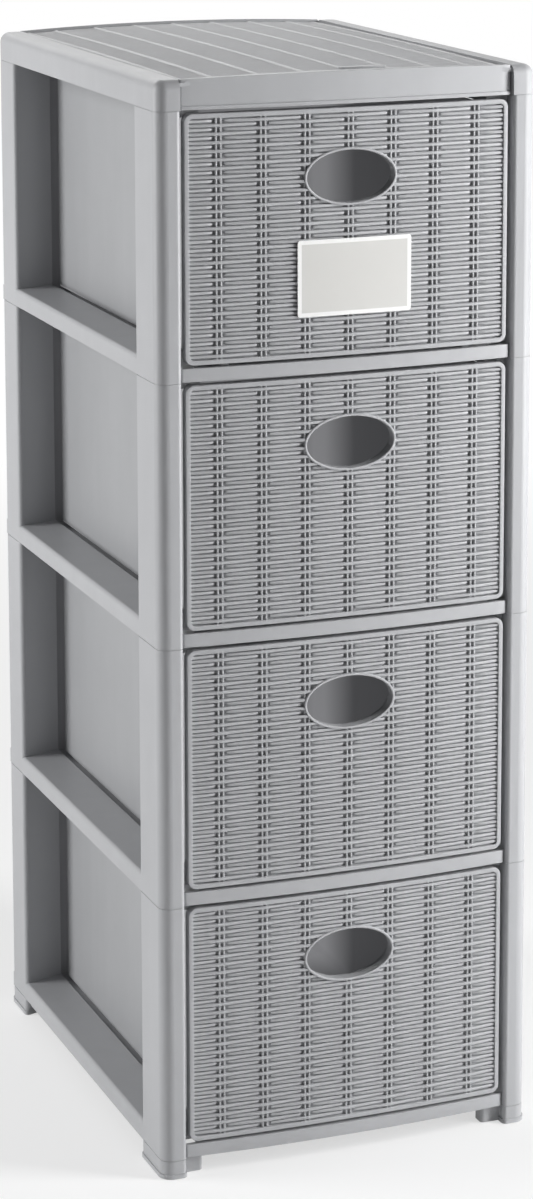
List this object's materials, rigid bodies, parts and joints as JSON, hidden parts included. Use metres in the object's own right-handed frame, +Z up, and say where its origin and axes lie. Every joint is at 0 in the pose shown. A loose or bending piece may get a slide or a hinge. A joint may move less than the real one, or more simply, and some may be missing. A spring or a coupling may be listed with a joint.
{
  "type": "drawer tower",
  "caption": "Free-standing plastic drawer tower with open side frames, a domed top cover and sliding drawers with woven-look fronts and oval finger holes.",
  "frame": {"origin": "on the floor, at the centre of the tower's footprint", "axes": "+Z up, -Y towards the drawer fronts, +X to the viewer's right when facing the fronts"},
  "size_m": [0.2896, 0.3772, 0.8],
  "materials": {
    "frame_plastic": "satin silver-grey moulded plastic",
    "bin_plastic": "satin silver-grey moulded plastic",
    "front_plastic": "satin silver-grey moulded plastic with a woven relief",
    "label_card": "smooth pale card, bare"
  },
  "bodies": {
    "carcass": {"foot_front_left": "frame_plastic", "foot_front_right": "frame_plastic", "foot_rear_left": "frame_plastic", "foot_rear_right": "frame_plastic", "side_frame_left_1": "frame_plastic", "side_frame_left_2": "frame_plastic", "side_frame_left_3": "frame_plastic", "side_frame_left_4": "frame_plastic", "side_frame_right_1": "frame_plastic", "side_frame_right_2": "frame_plastic", "side_frame_right_3": "frame_plastic", "side_frame_right_4": "frame_plastic", "shelf_1": "frame_plastic", "shelf_2": "frame_plastic", "shelf_3": "frame_plastic", "shelf_4": "frame_plastic", "back_panel_1": "frame_plastic", "back_panel_2": "frame_plastic", "back_panel_3": "frame_plastic", "back_panel_4": "frame_plastic", "top_cover": "frame_plastic"},
    "drawer_1": {"drawer_bin_1": "bin_plastic", "drawer_front_1": "front_plastic"},
    "drawer_2": {"drawer_bin_2": "bin_plastic", "drawer_front_2": "front_plastic"},
    "drawer_3": {"drawer_bin_3": "bin_plastic", "drawer_front_3": "front_plastic"},
    "drawer_4": {"drawer_bin_4": "bin_plastic", "drawer_front_4": "front_plastic", "label": "label_card"}
  },
  "joints": [
    {"name": "drawer_1_slide", "type": "slide", "parent": "carcass", "child": "drawer_1", "axis": [0, -1, 0], "range_m": [0, 0.28]},
    {"name": "drawer_2_slide", "type": "slide", "parent": "carcass", "child": "drawer_2", "axis": [0, -1, 0], "range_m": [0, 0.28]},
    {"name": "drawer_3_slide", "type": "slide", "parent": "carcass", "child": "drawer_3", "axis": [0, -1, 0], "range_m": [0, 0.28]},
    {"name": "drawer_4_slide", "type": "slide", "parent": "carcass", "child": "drawer_4", "axis": [0, -1, 0], "range_m": [0, 0.28]}
  ]
}
